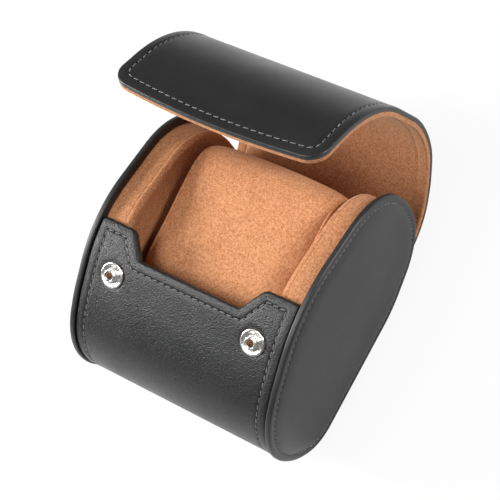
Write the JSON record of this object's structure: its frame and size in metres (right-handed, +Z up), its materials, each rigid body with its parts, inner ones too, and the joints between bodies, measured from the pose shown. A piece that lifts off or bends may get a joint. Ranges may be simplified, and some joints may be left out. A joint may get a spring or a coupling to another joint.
{
  "type": "watch travel case",
  "caption": "Hard-shelled leather travel case for one watch, with a two-fold leather lid, snap studs, suede lining and a lift-out pillow.",
  "frame": {"origin": "centre of the flat part of the base, midway between the side panels, on the plane the case rests on", "axes": "+X to the right-hand side panel seen from the front, +Y to the back where the lid is hinged, +Z up"},
  "size_m": [0.096, 0.1303, 0.119],
  "materials": {
    "black_leather": "fine pebble grain, satin",
    "tan_suede": "short nap, matte",
    "pillow_suede": "short nap, matte",
    "stiff_board": "grey board, matte",
    "foam": "felted wadding, matte",
    "nickel": "polished nickel",
    "spring_wire": "drawn wire, satin"
  },
  "bodies": {
    "case": {"shell_leather": "black_leather", "shell_board": "stiff_board", "shell_lining": "tan_suede", "hinge_fold": "black_leather", "side_leather_left": "black_leather", "side_leather_right": "black_leather", "side_board_left": "stiff_board", "side_board_right": "stiff_board", "side_pad_left": "foam", "side_pad_right": "foam", "block_left": "foam", "block_right": "foam", "block_suede_left": "tan_suede", "block_suede_right": "tan_suede", "stud_left": "nickel", "stud_right": "nickel", "stud_rivet_left": "nickel", "stud_rivet_right": "nickel"},
    "lid_back": {"lid_back_leather": "black_leather", "lid_back_board": "stiff_board", "lid_back_lining": "tan_suede", "flap_fold": "black_leather"},
    "lid_flap": {"flap_leather": "black_leather", "flap_board": "stiff_board", "flap_lining": "tan_suede", "socket_left": "nickel", "socket_right": "nickel", "socket_rivet_left": "nickel", "socket_rivet_right": "nickel", "socket_spring_left": "spring_wire", "socket_spring_right": "spring_wire"},
    "pillow": {"pillow_cover": "pillow_suede", "pillow_core": "foam"}
  },
  "joints": [
    {"name": "lid_hinge", "type": "hinge", "parent": "case", "child": "lid_back", "pos_m": [0, 0.0371, 0.00893], "axis": [-1, 0, 0], "range_deg": [-39, 20]},
    {"name": "flap_bend", "type": "hinge", "parent": "lid_back", "child": "lid_flap", "pos_m": [0, 0.07498, 0.0511], "axis": [-1, 0, 0], "range_deg": [-19, 15]},
    {"name": "pillow_lift", "type": "slide", "parent": "case", "child": "pillow", "axis": [0, 0, 1], "range_m": [0, 0.008]}
  ]
}
